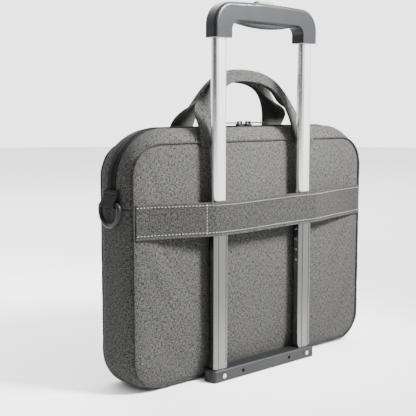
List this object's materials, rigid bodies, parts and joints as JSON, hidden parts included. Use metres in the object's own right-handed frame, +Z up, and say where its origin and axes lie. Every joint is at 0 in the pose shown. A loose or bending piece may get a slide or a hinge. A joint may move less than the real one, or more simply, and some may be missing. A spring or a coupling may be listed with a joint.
{
  "type": "laptop case on telescopic handle",
  "caption": "Soft padded laptop case with zip, carry handles and D-rings, its luggage strap threaded over a telescopic two-tube pull handle with a lock button.",
  "frame": {"origin": "middle of the case's flat base, on the floor", "axes": "+X to the right as seen from the front, +Y out of the back where the pull handle stands, +Z up"},
  "size_m": [0.4168, 0.0961, 0.443],
  "materials": {
    "heather_cloth": "two-tone heather plain weave, grey",
    "handle_lining": "smooth dark grey twill",
    "inner_lining": "fine dark grey nylon",
    "padding": "closed-cell foam",
    "stiff_board": "thin polyethylene board",
    "zip_tape": "black woven tape",
    "zip_coil": "black nylon coil",
    "black_metal": "black satin plating",
    "bright_aluminium": "bright anodised, fine lengthwise brushing",
    "satin_aluminium": "satin anodised, fine lengthwise brushing",
    "steel": "bright zinc plating",
    "dark_plastic": "satin dark grey moulded plastic",
    "black_rubber": "soft ribbed insert",
    "button_plastic": "satin mid grey moulded plastic"
  },
  "bodies": {
    "trolley_frame": {"outer_tube_left": "satin_aluminium", "outer_tube_right": "satin_aluminium", "tube_collars": "dark_plastic", "foot_bracket": "dark_plastic", "bracket_screws": "steel"},
    "pull_handle": {"inner_tube_left": "bright_aluminium", "inner_tube_right": "bright_aluminium", "lock_blocks": "dark_plastic", "grip_shell": "dark_plastic", "grip_insert": "black_rubber"},
    "release_button": {"release_button": "button_plastic", "release_rods": "steel"},
    "lock_pin_left": {"lock_pin_left": "steel"},
    "lock_pin_right": {"lock_pin_right": "steel"},
    "case": {"back_panel": "heather_cloth", "back_foam": "padding", "back_lining": "inner_lining", "back_welt": "heather_cloth", "rear_gusset": "heather_cloth", "lower_gusset": "heather_cloth", "zip_tape_rear": "zip_tape", "zip_coil_rear": "zip_coil", "luggage_strap": "heather_cloth", "d_ring_tab_left": "zip_tape", "d_ring_tab_right": "zip_tape", "laptop_divider": "inner_lining", "divider_pocket": "inner_lining", "base_board": "stiff_board", "front_panel_lower": "heather_cloth", "front_foam_lower": "padding", "front_lining_lower": "inner_lining", "front_welt_lower": "heather_cloth", "pocket_panel_lower": "heather_cloth"},
    "front_flap": {"front_panel_upper": "heather_cloth", "front_foam_upper": "padding", "front_lining_upper": "inner_lining", "front_welt_upper": "heather_cloth", "front_gusset": "heather_cloth", "zip_tape_front": "zip_tape", "zip_coil_front": "zip_coil", "pocket_panel_upper": "heather_cloth", "pocket_zip_tape": "zip_tape", "pocket_zip_coil": "zip_coil"},
    "front_handle": {"front_handle_cover": "heather_cloth", "front_handle_lining": "handle_lining"},
    "rear_handle": {"rear_handle_cover": "heather_cloth", "rear_handle_lining": "handle_lining"},
    "main_slider_left": {"main_slider_left": "black_metal"},
    "main_slider_right": {"main_slider_right": "black_metal"},
    "main_puller_left": {"main_puller_left": "black_metal"},
    "main_puller_right": {"main_puller_right": "black_metal"},
    "pocket_slider": {"pocket_slider": "black_metal"},
    "pocket_puller": {"pocket_puller": "black_metal"},
    "d_ring_left": {"d_ring_left": "black_metal"},
    "d_ring_right": {"d_ring_right": "black_metal"}
  },
  "joints": [
    {"name": "pull_handle_slide", "type": "slide", "parent": "trolley_frame", "child": "pull_handle", "axis": [0, 0, 1], "range_m": [-0.1, 0]},
    {"name": "button_press", "type": "slide", "parent": "pull_handle", "child": "release_button", "axis": [0, 0, 1], "range_m": [-0.004, 0], "stiffness_N_per_m": 900, "springref_m": 0.001},
    {"name": "lock_pin_right_slide", "type": "slide", "parent": "pull_handle", "child": "lock_pin_right", "axis": [1, 0, 0], "range_m": [0, 0.0021]},
    {"name": "lock_pin_left_slide", "type": "slide", "parent": "pull_handle", "child": "lock_pin_left", "axis": [-1, 0, 0], "range_m": [0, 0.0021]},
    {"name": "case_slide", "type": "slide", "parent": "trolley_frame", "child": "case", "axis": [0, 0, 1], "range_m": [0, 0.08]},
    {"name": "flap_open", "type": "hinge", "parent": "case", "child": "front_flap", "pos_m": [0, -0.033, 0.209], "axis": [1, 0, 0], "range_deg": [0, 30]},
    {"name": "front_handle_swing", "type": "hinge", "parent": "front_flap", "child": "front_handle", "pos_m": [0, -0.0312, 0.2824], "axis": [1, 0, 0], "range_deg": [0, 95]},
    {"name": "rear_handle_swing", "type": "hinge", "parent": "case", "child": "rear_handle", "pos_m": [0, 0.0312, 0.2824], "axis": [-1, 0, 0], "range_deg": [0, 12]},
    {"name": "main_slider_right_run", "type": "slide", "parent": "case", "child": "main_slider_right", "axis": [1, 0, 0], "range_m": [0, 0.1201]},
    {"name": "main_slider_left_run", "type": "slide", "parent": "case", "child": "main_slider_left", "axis": [-1, 0, 0], "range_m": [0, 0.1201]},
    {"name": "main_puller_right_lift", "type": "hinge", "parent": "main_slider_right", "child": "main_puller_right", "pos_m": [0.007, 0.0017, 0.3008], "axis": [0, -1, 0], "range_deg": [0, 100]},
    {"name": "main_puller_left_lift", "type": "hinge", "parent": "main_slider_left", "child": "main_puller_left", "pos_m": [-0.007, 0.0017, 0.3008], "axis": [0, 1, 0], "range_deg": [0, 100]},
    {"name": "pocket_slider_run", "type": "slide", "parent": "front_flap", "child": "pocket_slider", "axis": [1, 0, 0], "range_m": [0, 0.3]},
    {"name": "pocket_puller_lift", "type": "hinge", "parent": "pocket_slider", "child": "pocket_puller", "pos_m": [-0.15, -0.0369, 0.24], "axis": [-1, 0, 0], "range_deg": [0, 100]},
    {"name": "d_ring_right_swing", "type": "hinge", "parent": "case", "child": "d_ring_right", "pos_m": [0.2037, 0.001, 0.214], "axis": [0, -1, 0], "range_deg": [0, 95]},
    {"name": "d_ring_left_swing", "type": "hinge", "parent": "case", "child": "d_ring_left", "pos_m": [-0.2037, 0.001, 0.214], "axis": [0, 1, 0], "range_deg": [0, 95]}
  ],
  "couplings": [
    {"joint": "main_slider_right_run", "follows": "flap_open", "m_per_rad": 0.22918},
    {"joint": "main_slider_left_run", "follows": "flap_open", "m_per_rad": 0.22918},
    {"joint": "lock_pin_right_slide", "follows": "button_press", "ratio": -0.5},
    {"joint": "lock_pin_left_slide", "follows": "button_press", "ratio": -0.5}
  ]
}
